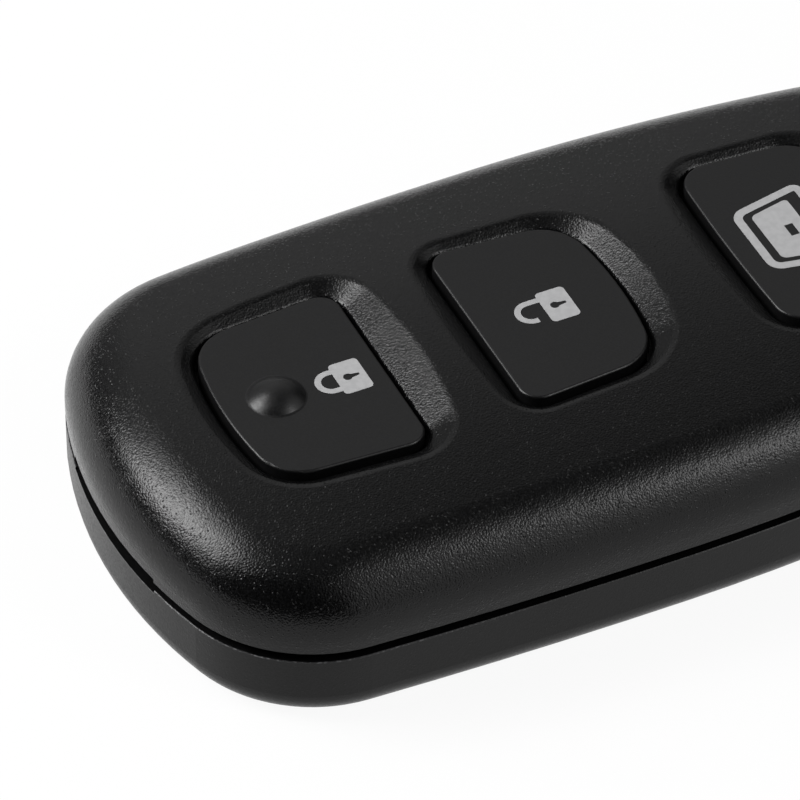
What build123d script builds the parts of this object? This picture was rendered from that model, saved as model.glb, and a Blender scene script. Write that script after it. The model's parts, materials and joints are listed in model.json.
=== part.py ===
from build123d import *
from dataclasses import dataclass
from math import cos, radians, sin, sqrt
import os

# Car key fob with four push buttons. All lengths are in millimetres.
# The lock button's end is at +Y, the key ring end at -Y, and the rear cover lies on Z = 0.

os.makedirs("parts", exist_ok=True)

# Case outline, seen from above
case_length = 70.0
case_width = 35.2
widest_place_share = 0.0357
lock_side_radius = 400.0
ring_side_radius = 150.0
lock_end_arch = 4.55
lock_corner_radius = 9.9
ring_taper_length = 9.65
ring_corner_radius = 13.0
nose_width = 12.7
nose_arch = 0.35
nose_radius = 10.0

# Crowned top of the case: a long lengthwise arc that rolls off at both ends
crown_height = 12.95
crown_apex_share = -0.1143
crown_length_radius = 1250.0
crown_cross_radius = 74.5
lock_roll_length = 15.0
lock_roll_radius = 120.0
ring_roll_length = 13.0
ring_roll_radius = 110.0
crown_half_angle = 20
shoulder_radius = 4.9
rear_edge_radius = 2.1

# Walls, and the joint between the two covers
wall = 1.7
floor_thickness = 1.4
rear_rim = 5.15
parting_gap = 0.65
parting_chamfer = 0.06
lip_thickness = 0.85
lip_clearance = 0.1
tongue_height = 1.85
overrun = 2.0
place_tolerance = 0.05
top_facing_share = 0.7

# Snap hooks on the tongue, the slot for a coin at the key ring end and the wide one at the lock end
snap_length = 5.0
snap_height = 0.6
snap_reach = 0.35
snap_rise = 0.95
snap_clearance = 0.1
snap_places_share = (0.4, -0.25)
coin_slot_width = 6.0
coin_slot_height = 0.8
pry_slot_width = 12.4
pry_slot_rise = 0.35
pry_slot_drop = 0.2

# Key ring eye through both covers
eye_radius = 2.2
eye_from_end = 3.8
eye_wall = 1.0
eye_chamfer = 0.5
eye_mouth_radius = 0.3

# Perimeter seal
seal_height = 0.3
seal_clearance = 0.05

# Push buttons. Their places along Y, from the middle, and their lengths are shares of the case's
# length, and the slopes take a share of the strip between two neighbours
button_travel = 0.4
button_gap = 0.27
button_edge_radius = 0.16
button_proud = 0.5
button_skin = 1.2
button_wall = 1.1
collar_thickness = 1.5
collar_margin = 2.4
small_collar_margin = 1.5
cover_rib_length = 20.0
cover_rib_thickness = 0.9
flange_width = 0.9
flange_thickness = 0.8
flange_clearance = 0.1
dish_run_share = 0.599
dish_rim_share = 0.12
dish_height = 2.2
dish_lip_radius = 0.5
post_radius = 1.6
rib_thickness = 0.8

lock_edge_share = 0.2277
lock_length_share = 0.155
lock_base_width = 15.2
lock_end_width = 14.0
lock_arch = 0.9
lock_sink = 0.99
unlock_edge_share = 0.133
unlock_length_share = 0.144
unlock_base_width = 15.3
unlock_end_width = 14.0
unlock_arch = 0.85
unlock_sink = 0.58
window_edge_share = -0.1237
window_length_share = 0.1414
window_base_width = 16.4
window_end_width = 15.2
window_base_arch = 0.25
window_arch = 0.5
window_sink = 0.53
panic_edge_share = -0.32
panic_length_share = 0.0543
panic_base_width = 9.6
panic_end_width = 8.8
panic_arch = 0.3
panic_sink = 0.15
tight_corner = 1.4
soft_corner = 2.0
round_corner = 3.2
window_corner = 2.6
panic_corner = 1.5

# Raised dot that the thumb feels on the lock button
dot_radius = 1.875
dot_height = 0.75
dot_place_share = 0.6636
dot_blend = 0.25

# Circuit board, its frame and its screws
board_thickness = 0.8
board_margin = 0.5
board_rest = 4.9
board_eye_gap = 0.3
frame_margin = 0.3
frame_wall = 1.2
frame_rib = 1.0
pocket_rib_spread = 6.5
pocket_wall_drop = 0.1
frame_rib_x = 5.5
screw_post_radius = 1.7
screw_shank_radius = 0.65
screw_shank_length = 3.0
screw_head_radius = 1.3
screw_head_height = 0.6
screw_hole_radius = 0.85
screw_pilot_clearance = 0.05
screw_slot_width = 0.4
lock_screw_inset = 6.7
lock_screw_from_end = 11.0
ring_screw_inset = 7.4
ring_screw_from_end = 11.2

# Silicone keypad over the switches
keypad_margin = 0.7
keypad_sheet = 0.6
keypad_skirt = 0.6
keypad_bottom = 7.5
pad_radius = 2.4
pad_gap = 0.05
pad_crown = 0.85
pad_edge_radius = 0.3
keypad_window_radius = 1.5

# Push switches on the board
switch_width = 3.6
switch_body_height = 1.25
switch_corner = 0.3
switch_plate = 0.15
switch_plate_inset = 0.15
switch_base = 0.2
switch_chamber_radius = 1.5
plunger_radius = 0.8
plunger_clearance = 0.07
plunger_collar_radius = 1.25
plunger_collar_height = 0.1
plunger_gap = 0.05
disc_radius = 1.35
disc_rise = 0.3
disc_thickness = 0.1
terminal_width = 0.6
terminal_reach = 0.8
terminal_thickness = 0.2
terminal_spread = 1.2

# Coin cell and its contacts
cell_radius = 10.0
cell_height = 2.5
cell_place_share = 0.043
cell_bottom = 1.9
cell_can_wall = 0.3
cell_can_rise = 0.2
cell_edge_radius = 0.4
cell_seal_width = 0.5
cell_clearance = 0.3
contact_thickness = 0.2
contact_width = 4.0
contact_gap = 0.05
contact_length = 7.0
finger_width = 1.2
finger_length = 5.0
contact_slot_clearance = 0.3
contact_leg_offset = 2.5

# Light and its lens
light_from_button = 3.1
light_from_middle = 0.4
light_length = 1.6
light_width = 0.9
light_height = 0.6
lens_radius = 0.9
lens_clearance = 0.05
lens_flange_radius = 1.4
lens_flange_height = 0.5
lens_gap = 0.3
lens_below_flange = 2.6
lens_sink = 0.45
lens_edge_radius = 0.3

# Parts on the board
chip_length = 6.2
chip_width = 4.4
chip_height = 1.1
chip_standoff = 0.1
chip_inset = 9.0
lead_count = 8
lead_pitch = 0.65
lead_width = 0.25
lead_reach = 0.8
lead_thickness = 0.15
radio_length = 4.0
radio_width = 4.0
radio_height = 0.9
crystal_length = 6.0
crystal_width = 2.8
crystal_height = 1.4
crystal_edge = 0.2
crystal_gap = 1.0
resistor_length = 1.0
resistor_width = 0.5
resistor_height = 0.35
capacitor_length = 1.2
capacitor_width = 0.8
capacitor_height = 0.7
small_pitch = 1.9
small_rows = 3
small_columns = 3
aerial_radius = 0.3
aerial_reach_x = 6.5
aerial_from_end = 4.4
aerial_depth = 3.4
aerial_corner = 1.4

# Sizes that follow from the ones above
lock_end = case_length / 2
ring_end = -case_length / 2
widest_y = widest_place_share * case_length
crown_apex = crown_apex_share * case_length
lock_roll_start = lock_end - lock_roll_length
ring_roll_start = ring_end + ring_roll_length
crown_axis_height = crown_height - crown_cross_radius
cover_rim = rear_rim + parting_gap
tongue_top = rear_rim + tongue_height
rebate_top = tongue_top + seal_height + seal_clearance
tongue_inset = lip_thickness + lip_clearance
eye_y = ring_end + eye_from_end
board_ring_end = eye_y + eye_radius + eye_wall + board_eye_gap
board_bottom = board_rest
board_top = board_bottom + board_thickness
plate_bottom = board_top + switch_body_height
keypad_top = keypad_bottom + keypad_sheet
pad_top = keypad_top + pad_crown
switch_chamber_height = button_travel + disc_thickness + plunger_collar_height + plunger_clearance
cell_y = cell_place_share * case_length
cell_top = cell_bottom + cell_height
contact_leg_x = cell_radius + contact_leg_offset
lock_screw_x = case_width / 2 - lock_screw_inset
ring_screw_x = case_width / 2 - ring_screw_inset
screw_places = [(side * x, y) for x, y in ((lock_screw_x, lock_end - lock_screw_from_end),
                                           (ring_screw_x, board_ring_end + ring_screw_from_end))
                for side in (-1, 1)]


@dataclass(frozen=True)
class Button:
    """One push button: its outline from the straight edge to the arched one, and its top."""

    name: str
    edge_y: float
    towards: int
    length: float
    base_width: float
    end_width: float
    base_arch: float
    end_arch: float
    base_corner: float
    end_corner: float
    top: float
    margin: float

    @property
    def centre_y(self):
        """Middle of the button along the case."""
        return self.edge_y + self.towards * self.length / 2

    @property
    def dish_floor(self):
        """Height of the surface around the button."""
        return self.top - button_proud

    @property
    def collar_bottom(self):
        """Height of the face that stops the button's flange."""
        return self.dish_floor - collar_thickness

    @property
    def flange_bottom(self):
        """Height of the flange's lower face at rest."""
        return self.collar_bottom - flange_clearance - flange_thickness


lock = Button("lock", lock_edge_share * case_length, 1, lock_length_share * case_length,
              lock_base_width, lock_end_width, 0, lock_arch, tight_corner, round_corner,
              crown_height - lock_sink, collar_margin)
unlock = Button("unlock", unlock_edge_share * case_length, -1, unlock_length_share * case_length,
                unlock_base_width, unlock_end_width, 0, unlock_arch, tight_corner, round_corner,
                crown_height - unlock_sink, collar_margin)
window = Button("window", window_edge_share * case_length, -1, window_length_share * case_length,
                window_base_width, window_end_width, window_base_arch, window_arch, soft_corner,
                window_corner, crown_height - window_sink, collar_margin)
panic = Button("panic", panic_edge_share * case_length, -1, panic_length_share * case_length,
               panic_base_width, panic_end_width, 0, panic_arch, panic_corner, panic_corner,
               crown_height - panic_sink, small_collar_margin)
buttons = (lock, unlock, window, panic)

# Places and slopes that follow the buttons
upper_strip_y = (lock.edge_y + unlock.edge_y) / 2
lower_strip_y = (unlock.edge_y - unlock.length + window.edge_y) / 2
dish_run = dish_run_share * (lock.edge_y - unlock.edge_y)
dish_rim_radius = dish_rim_share * (lock.edge_y - unlock.edge_y)
light_x = panic_base_width / 2 + light_from_button
light_y = panic.centre_y + light_from_middle
lens_flange_top = board_top + light_height + lens_gap + lens_below_flange + lens_flange_height
chip_x = case_width / 2 - chip_inset
crystal_y = upper_strip_y - (chip_length + crystal_width) / 2 - crystal_gap


def side_x(y):
    """Half width of the case at y, before its corners are rounded."""
    radius = lock_side_radius if y > widest_y else ring_side_radius
    return case_width / 2 - radius + sqrt(radius**2 - (y - widest_y) ** 2)


def case_outline(inset, height):
    """Plan of the case, drawn in by inset, on a plane at the given height."""
    corner_y = lock_end - lock_end_arch
    taper_y = ring_end + ring_taper_length
    nose_y = ring_end + nose_arch
    with BuildSketch(Plane.XY.offset(height)) as plan:
        with BuildLine():
            ThreePointArc((-side_x(corner_y), corner_y), (0, lock_end), (side_x(corner_y), corner_y))
            for side in (-1, 1):
                for start, end in ((corner_y, widest_y), (widest_y, taper_y)):
                    stops = (start, (start + end) / 2, end)
                    ThreePointArc(*[(side * side_x(y), y) for y in stops])
                Line((side * side_x(taper_y), taper_y), (side * nose_width / 2, nose_y))
            ThreePointArc((-nose_width / 2, nose_y), (0, ring_end), (nose_width / 2, nose_y))
        make_face()
        fillet(plan.vertices().group_by(Axis.Y)[1], ring_corner_radius)
        fillet(plan.vertices().group_by(Axis.Y)[-1], lock_corner_radius)
        fillet(plan.vertices().group_by(Axis.Y)[0], nose_radius)
        if inset:
            offset(amount=-inset)
    return plan.sketch


def case_ring(outer_inset, inner_inset, height):
    """Band between two outlines of the case."""
    with BuildSketch() as band:
        add(case_outline(outer_inset, 0))
        add(case_outline(inner_inset, 0), mode=Mode.SUBTRACT)
    return Plane.XY.offset(height) * band.sketch


def crown_z(y):
    """Height of the case's top along its middle line."""

    def long_arc(place):
        drop = crown_length_radius - sqrt(crown_length_radius**2 - (place - crown_apex) ** 2)
        return crown_height - drop

    for start, roll in ((lock_roll_start, lock_roll_radius), (ring_roll_start, ring_roll_radius)):
        if (y - start) * (start - crown_apex) > 0:
            slope = (start - crown_apex) / crown_length_radius
            centre_y = start - roll * slope
            centre_z = long_arc(start) - roll * sqrt(1 - slope**2)
            return centre_z + sqrt(roll**2 - (y - centre_y) ** 2)
    return long_arc(y)


# Solid under the crowned top: the lengthwise arcs turned about an axis along Y
crown_tilt = radians(crown_half_angle)
crown_plane = Plane(origin=(0, 0, crown_axis_height), x_dir=(0, 1, 0),
                    z_dir=(cos(crown_tilt), 0, sin(crown_tilt)))
with BuildPart() as crown:
    with BuildSketch(crown_plane):
        with BuildLine():
            crown_stops = [ring_end - overrun, ring_roll_start, lock_roll_start, lock_end + overrun]
            for low, high in zip(crown_stops, crown_stops[1:]):
                ThreePointArc(*[(y, crown_z(y) - crown_axis_height) for y in (low, (low + high) / 2, high)])
            low, high = crown_stops[0], crown_stops[-1]
            Polyline((low, crown_z(low) - crown_axis_height), (low, crown_cross_radius / 2),
                     (high, crown_cross_radius / 2), (high, crown_z(high) - crown_axis_height))
        make_face()
    revolve(axis=Axis((0, 0, crown_axis_height), (0, 1, 0)), revolution_arc=2 * crown_half_angle)


def is_crown_seam(edge):
    """True for the lines across the top where two of its arcs meet."""
    flat = edge.bounding_box().size.Y < place_tolerance
    return flat and ring_roll_start - overrun < edge.center().Y < lock_roll_start + overrun


def case_block(inset, bottom):
    """Solid of the case drawn in all round by inset, above bottom, with rounded shoulders."""
    with BuildPart() as block:
        extrude(case_outline(inset, bottom), amount=crown_height)
        with Locations((0, 0, -inset)):
            add(crown.part, mode=Mode.INTERSECT)
        top = block.faces().filter_by(lambda face: face.normal_at().Z > top_facing_share)
        fillet(top.edges().filter_by(lambda edge: not is_crown_seam(edge)), shoulder_radius - inset)
        if not inset:
            fillet(block.faces().sort_by(Axis.Z)[0].edges(), rear_edge_radius)
    return block.part


def button_outline(button, grow, height):
    """Plan of a button, grown by grow, on a plane at the given height."""
    base_x, end_x = button.base_width / 2, button.end_width / 2
    base_y = button.edge_y + button.towards * button.base_arch
    far_y = button.edge_y + button.towards * button.length
    end_y = far_y - button.towards * button.end_arch
    with BuildSketch(Plane.XY.offset(height)) as plan:
        with BuildLine():
            if button.base_arch:
                ThreePointArc((-base_x, base_y), (0, button.edge_y), (base_x, base_y))
            else:
                Line((-base_x, base_y), (base_x, base_y))
            Line((base_x, base_y), (end_x, end_y))
            ThreePointArc((end_x, end_y), (0, far_y), (-end_x, end_y))
            Line((-end_x, end_y), (-base_x, base_y))
        make_face()
        fillet(plan.vertices().group_by(Axis.Y)[0 if button.towards > 0 else -1], button.base_corner)
        fillet(plan.vertices().group_by(Axis.Y)[-1 if button.towards > 0 else 0], button.end_corner)
        if grow:
            offset(amount=grow)
    return plan.sketch


def dish(button):
    """Hollow with sloping sides that leads down to a button."""
    with BuildPart() as hollow:
        with BuildSketch():
            add(button_outline(button, button_gap, 0))
        with BuildSketch(Plane.XY.offset(dish_height)):
            add(button_outline(button, button_gap + dish_run, 0))
        loft(ruled=True)
    return Plane.XY.offset(button.dish_floor) * hollow.part


def column(x, y, radius, bottom, top):
    """Round column between two heights."""
    with BuildPart() as post:
        with BuildSketch(Plane.XY.offset(bottom)):
            with Locations((x, y)):
                Circle(radius)
        extrude(amount=top - bottom)
    return post.part


def slab(x, y, length, width, bottom, height):
    """Flat block with its middle at x and y."""
    with BuildPart() as block:
        with BuildSketch(Plane.XY.offset(bottom)):
            with Locations((x, y)):
                Rectangle(length, width)
        extrude(amount=height)
    return block.part


def clipped_outline(inset, ring_limit, height):
    """Plan of the case's inside, cut off short of the key ring eye."""
    with BuildSketch() as plan:
        add(case_outline(inset, 0))
        with Locations((0, ring_limit)):
            Rectangle(case_width, case_length, align=(Align.CENTER, Align.MIN), mode=Mode.INTERSECT)
    return Plane.XY.offset(height) * plan.sketch


# Whole case as one block, and the room inside it
outer_block = case_block(0, 0)
inner_block = case_block(wall, floor_thickness)

# Dished block: each hollow and the opening in it are cut, and their rims softened
with BuildPart() as dished_block:
    add(outer_block)
    for button in buttons:
        add(dish(button), mode=Mode.SUBTRACT)
        rim = dished_block.edges(Select.LAST).filter_by(
            lambda edge: edge.geom_type != GeomType.LINE
            and edge.center().Z > button.dish_floor + place_tolerance)
        fillet(rim, dish_rim_radius)
        extrude(button_outline(button, button_gap, cover_rim), amount=crown_height, mode=Mode.SUBTRACT)
        lip = dished_block.edges().filter_by(
            lambda edge: edge.bounding_box().size.Z < place_tolerance
            and abs(edge.center().Z - button.dish_floor) < place_tolerance
            and abs(edge.center().Y - button.centre_y) < button.length)
        fillet(lip, dish_lip_radius)

# Room under the top cover: the inside less the collars round the buttons, two ribs, and
# the walls of the eye and the lens
with BuildPart() as cover_room:
    add(inner_block)
    for button in buttons:
        extrude(button_outline(button, button.margin, button.collar_bottom), amount=crown_height,
                mode=Mode.SUBTRACT)
    for rib_y in (upper_strip_y, lower_strip_y):
        add(slab(0, rib_y, cover_rib_length, cover_rib_thickness, keypad_top + pad_gap, crown_height),
            mode=Mode.SUBTRACT)
    add(column(0, eye_y, eye_radius + eye_wall, cover_rim, crown_height), mode=Mode.SUBTRACT)
    add(column(light_x, light_y, lens_flange_radius, lens_flange_top, crown_height), mode=Mode.SUBTRACT)


def snap_hooks(reach, clearance):
    """Blocks on both sides of the case that clip the covers together."""
    with BuildPart() as hooks:
        for share in snap_places_share:
            y = share * case_length / 2
            face_x = side_x(y) - tongue_inset
            for side in (-1, 1):
                add(slab(side * (face_x + reach - lip_thickness / 2), y, lip_thickness,
                         snap_length + 2 * clearance, rear_rim + snap_rise - clearance,
                         snap_height + 2 * clearance))
    return hooks.part


def pry_slot():
    """Low slot in the joint at the lock end, where the covers are prised apart."""
    height = pry_slot_drop + parting_gap + pry_slot_rise
    with BuildPart() as slot:
        add(slab(0, lock_end, pry_slot_width, 2 * lock_end_arch, rear_rim - pry_slot_drop, height))
        extrude(case_ring(-lip_thickness, tongue_inset, 0), amount=crown_height, mode=Mode.INTERSECT)
    return slot.part


with BuildPart() as top_cover:
    add(dished_block.part)
    add(cover_room.part, mode=Mode.SUBTRACT)
    for button in buttons:
        extrude(button_outline(button, flange_width + lip_clearance, cover_rim),
                amount=button.collar_bottom - cover_rim, mode=Mode.SUBTRACT)
    split(bisect_by=Plane.XY.offset(cover_rim), keep=Keep.TOP)
    chamfer(top_cover.faces().sort_by(Axis.Z)[0].outer_wire().edges(), parting_chamfer)
    extrude(case_ring(lip_thickness, wall + lip_clearance, cover_rim), amount=rebate_top - cover_rim,
            mode=Mode.SUBTRACT)
    add(snap_hooks(snap_reach + snap_clearance, snap_clearance), mode=Mode.SUBTRACT)
    add(pry_slot(), mode=Mode.SUBTRACT)
    add(column(0, eye_y, eye_radius, 0, crown_height), mode=Mode.SUBTRACT)
    mouth = top_cover.edges(Select.LAST).filter_by(
        lambda edge: edge.center().Z > rebate_top)
    fillet(mouth, eye_mouth_radius)
    add(column(light_x, light_y, lens_radius + lens_clearance, cover_rim, crown_height), mode=Mode.SUBTRACT)
top_cover.part.label = "top_cover"
export_step(top_cover.part, "parts/top_cover.step")

with BuildPart() as rear_cover:
    add(outer_block)
    split(bisect_by=Plane.XY.offset(rear_rim), keep=Keep.BOTTOM)
    chamfer(rear_cover.faces().sort_by(Axis.Z)[-1].outer_wire().edges(), parting_chamfer)
    extrude(case_outline(wall, floor_thickness), amount=case_length, mode=Mode.SUBTRACT)
    extrude(case_ring(tongue_inset, wall, floor_thickness), amount=tongue_top - floor_thickness)
    add(snap_hooks(snap_reach, 0))
    add(column(0, eye_y, eye_radius + eye_wall, 0, cover_rim - seal_clearance))
    add(column(0, eye_y, eye_radius, 0, crown_height), mode=Mode.SUBTRACT)
    mouth = rear_cover.edges().filter_by(GeomType.CIRCLE).filter_by(
        lambda edge: abs(edge.radius - eye_radius) < place_tolerance and edge.center().Z < place_tolerance)
    chamfer(mouth, eye_chamfer)
    add(slab(0, ring_end, coin_slot_width, 2 * lip_thickness, rear_rim - coin_slot_height, overrun),
        mode=Mode.SUBTRACT)
    add(pry_slot(), mode=Mode.SUBTRACT)
rear_cover.part.label = "rear_cover"
export_step(rear_cover.part, "parts/rear_cover.step")

with BuildPart() as cover_seal:
    extrude(case_ring(tongue_inset + seal_clearance, wall - seal_clearance, tongue_top), amount=seal_height)
cover_seal.part.label = "cover_seal"
export_step(cover_seal.part, "parts/cover_seal.step")


def button_cap(button):
    """Moulded cap with a flange that the cover holds, hollow below, with a post and a cross rib."""
    skin_bottom = button.top - button_skin
    post_bottom = pad_top + pad_gap
    with BuildPart() as cap:
        extrude(button_outline(button, 0, button.flange_bottom), amount=button.top - button.flange_bottom)
        fillet(cap.faces().sort_by(Axis.Z)[-1].edges(), button_edge_radius)
        extrude(button_outline(button, flange_width, button.flange_bottom), amount=flange_thickness)
        extrude(button_outline(button, -button_wall, button.flange_bottom),
                amount=skin_bottom - button.flange_bottom, mode=Mode.SUBTRACT)
        add(slab(0, button.centre_y, button.end_width - button_wall, rib_thickness,
                 button.flange_bottom, skin_bottom - button.flange_bottom))
        add(slab(0, button.centre_y, rib_thickness, button.length - button_wall,
                 button.flange_bottom, skin_bottom - button.flange_bottom))
        add(column(0, button.centre_y, post_radius, post_bottom, skin_bottom))
    return cap.part


# The lock button carries a raised dot, turned from an arc
dot_ball = (dot_radius**2 + dot_height**2) / (2 * dot_height)
dot_drop = dot_ball - sqrt(dot_ball**2 - (dot_radius / 2) ** 2)
dot_y = lock.edge_y + dot_place_share * lock.length
with BuildPart() as lock_button:
    add(button_cap(lock))
    with BuildSketch(Plane.XZ.offset(-dot_y)):
        with BuildLine():
            ThreePointArc((0, lock.top + dot_height), (dot_radius / 2, lock.top + dot_height - dot_drop),
                          (dot_radius, lock.top))
            Polyline((dot_radius, lock.top), (dot_radius, lock.top - button_skin / 2),
                     (0, lock.top - button_skin / 2), (0, lock.top + dot_height))
        make_face()
    revolve(axis=Axis((0, dot_y, 0), (0, 0, 1)))
    dot_foot = lock_button.edges().filter_by(GeomType.CIRCLE).filter_by(
        lambda edge: abs(edge.radius - dot_radius) < place_tolerance and edge.center().Z > lock.flange_bottom)
    fillet(dot_foot, dot_blend)
lock_button.part.label = "lock_button"
export_step(lock_button.part, "parts/lock_button.step")

for button in (unlock, window, panic):
    with BuildPart() as plain_button:
        add(button_cap(button))
    plain_button.part.label = f"{button.name}_button"
    export_step(plain_button.part, f"parts/{button.name}_button.step")

with BuildPart() as circuit_board:
    extrude(clipped_outline(wall + board_margin, board_ring_end, board_bottom), amount=board_thickness)
    for x, y in screw_places:
        add(column(x, y, screw_hole_radius, board_bottom - overrun, board_top + overrun), mode=Mode.SUBTRACT)
circuit_board.part.label = "circuit_board"
export_step(circuit_board.part, "parts/circuit_board.step")

with BuildPart() as board_frame:
    frame_inset = wall + frame_margin
    frame_height = board_bottom - floor_thickness
    extrude(clipped_outline(frame_inset, board_ring_end, floor_thickness), amount=frame_height)
    extrude(clipped_outline(frame_inset + frame_wall, board_ring_end + frame_wall, floor_thickness),
            amount=frame_height, mode=Mode.SUBTRACT)
    with BuildPart(mode=Mode.PRIVATE) as webs:
        pocket_wall_top = cell_top - pocket_wall_drop
        add(column(0, cell_y, cell_radius + cell_clearance + frame_rib, floor_thickness, pocket_wall_top))
        for offset_y in (-pocket_rib_spread, pocket_rib_spread):
            add(slab(0, cell_y + offset_y, case_width, frame_rib, floor_thickness,
                     pocket_wall_top - floor_thickness))
        for rib_x in (-frame_rib_x, frame_rib_x):
            add(slab(rib_x, 0, frame_rib, case_length, floor_thickness, pocket_wall_top - floor_thickness))
        for x, y in screw_places:
            add(column(x, y, screw_post_radius, floor_thickness, board_bottom))
            add(slab(0, y, case_width, frame_rib, floor_thickness, pocket_wall_top - floor_thickness))
        extrude(clipped_outline(frame_inset, board_ring_end, floor_thickness), amount=frame_height,
                mode=Mode.INTERSECT)
    add(webs.part)
    add(column(0, cell_y, cell_radius + cell_clearance, floor_thickness, board_bottom), mode=Mode.SUBTRACT)
    for x, y in screw_places:
        add(column(x, y, screw_shank_radius + screw_pilot_clearance,
                   board_bottom - screw_shank_length, board_bottom), mode=Mode.SUBTRACT)
    slot_width = contact_width + 2 * contact_slot_clearance
    slot_end = contact_leg_x + contact_slot_clearance
    add(slab(-slot_end / 2, cell_y, slot_end, slot_width, floor_thickness,
             cell_bottom - floor_thickness + contact_slot_clearance), mode=Mode.SUBTRACT)
    for side in (-1, 1):
        add(slab(side * contact_leg_x, cell_y, 2 * contact_slot_clearance + contact_thickness, slot_width,
                 floor_thickness, frame_height), mode=Mode.SUBTRACT)
board_frame.part.label = "board_frame"
export_step(board_frame.part, "parts/board_frame.step")

with BuildPart() as board_screws:
    for x, y in screw_places:
        add(column(x, y, screw_head_radius, board_top, board_top + screw_head_height))
        add(column(x, y, screw_shank_radius, board_bottom - screw_shank_length + screw_pilot_clearance,
                   board_top))
        add(slab(x, y, 2 * screw_shank_radius, screw_slot_width,
                 board_top + screw_head_height / 2, screw_head_height), mode=Mode.SUBTRACT)
        add(slab(x, y, screw_slot_width, 2 * screw_shank_radius,
                 board_top + screw_head_height / 2, screw_head_height), mode=Mode.SUBTRACT)
board_screws.part.label = "board_screws"
export_step(board_screws.part, "parts/board_screws.step")

with BuildPart() as keypad:
    keypad_inset = wall + keypad_margin
    extrude(clipped_outline(keypad_inset, board_ring_end, board_top), amount=keypad_top - board_top)
    extrude(clipped_outline(keypad_inset + keypad_skirt, board_ring_end - overrun, board_top),
            amount=keypad_bottom - board_top, mode=Mode.SUBTRACT)
    for button in buttons:
        add(column(0, button.centre_y, pad_radius, keypad_bottom, pad_top))
    pad_rims = keypad.edges().filter_by(GeomType.CIRCLE).group_by(Axis.Z)[-1]
    fillet(pad_rims, pad_edge_radius)
    add(column(light_x, light_y, keypad_window_radius, keypad_bottom, keypad_top), mode=Mode.SUBTRACT)
keypad.part.label = "keypad"
export_step(keypad.part, "parts/keypad.step")


def switch_parts(button):
    """Housing, metal plate, plunger and snap disc of the switch under a button, by name."""
    y = button.centre_y
    chamber_bottom = board_top + switch_base
    chamber_top = chamber_bottom + switch_chamber_height
    bore_radius = plunger_radius + plunger_clearance
    with BuildPart() as housing:
        add(slab(0, y, switch_width, switch_width, board_top, switch_body_height))
        chamfer(housing.edges().filter_by(Axis.Z), switch_corner)
        add(column(0, y, switch_chamber_radius, chamber_bottom, chamber_top), mode=Mode.SUBTRACT)
        add(column(0, y, bore_radius, chamber_bottom, plate_bottom), mode=Mode.SUBTRACT)
    with BuildPart() as plate:
        plate_width = switch_width - 2 * switch_plate_inset
        add(slab(0, y, plate_width, plate_width, plate_bottom, switch_plate))
        chamfer(plate.edges().filter_by(Axis.Z), switch_corner)
        add(column(0, y, bore_radius, board_top, keypad_top), mode=Mode.SUBTRACT)
    with BuildPart() as plunger:
        collar_top = chamber_top - plunger_clearance
        add(column(0, y, plunger_radius, collar_top - plunger_collar_height, keypad_bottom - plunger_gap))
        add(column(0, y, plunger_collar_radius, collar_top - plunger_collar_height, collar_top))
    with BuildPart() as snap_disc:
        ball = (disc_radius**2 + disc_rise**2) / (2 * disc_rise)
        drop = ball - sqrt(ball**2 - (disc_radius / 2) ** 2)
        with BuildSketch(Plane.XZ.offset(-y)):
            with BuildLine():
                crest = chamber_bottom + disc_rise
                ThreePointArc((0, crest), (disc_radius / 2, crest - drop), (disc_radius, chamber_bottom))
                Line((disc_radius, chamber_bottom), (disc_radius, chamber_bottom + disc_thickness))
                ThreePointArc((disc_radius, chamber_bottom + disc_thickness),
                              (disc_radius / 2, crest - drop + disc_thickness), (0, crest + disc_thickness))
                Line((0, crest + disc_thickness), (0, crest))
            make_face()
        revolve(axis=Axis((0, y, 0), (0, 0, 1)))
    return {"switch": housing.part, "switch_plate": plate.part, "plunger": plunger.part,
            "snap_disc": snap_disc.part}


for button in buttons:
    for piece_name, piece in switch_parts(button).items():
        piece.label = f"{button.name}_{piece_name}"
        export_step(piece, f"parts/{button.name}_{piece_name}.step")

with BuildPart() as switch_terminals:
    for button in buttons:
        for side in (-1, 1):
            for row in (-1, 1):
                add(slab(side * (switch_width + terminal_reach) / 2, button.centre_y + row * terminal_spread,
                         terminal_reach, terminal_width, board_top, terminal_thickness))
switch_terminals.part.label = "switch_terminals"
export_step(switch_terminals.part, "parts/switch_terminals.step")

# Coin cell: a can over a cap, with a seal between them
with BuildPart() as battery_can:
    add(column(0, cell_y, cell_radius, cell_bottom + cell_can_rise, cell_top))
    fillet(battery_can.edges().group_by(Axis.Z)[-1], cell_edge_radius)
    add(column(0, cell_y, cell_radius - cell_can_wall, cell_bottom, cell_top - cell_can_wall),
        mode=Mode.SUBTRACT)
battery_can.part.label = "battery_can"
export_step(battery_can.part, "parts/battery_can.step")

cap_radius = cell_radius - cell_can_wall - cell_seal_width
with BuildPart() as battery_seal:
    add(column(0, cell_y, cap_radius + cell_seal_width, cell_bottom + cell_can_rise,
               cell_top - cell_can_wall))
    add(column(0, cell_y, cap_radius, cell_bottom, cell_top), mode=Mode.SUBTRACT)
battery_seal.part.label = "battery_seal"
export_step(battery_seal.part, "parts/battery_seal.step")

with BuildPart() as battery_cap:
    add(column(0, cell_y, cap_radius, cell_bottom, cell_top - cell_can_wall))
    fillet(battery_cap.edges().group_by(Axis.Z)[0], cell_can_rise)
battery_cap.part.label = "battery_cap"
export_step(battery_cap.part, "parts/battery_cap.step")

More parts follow.
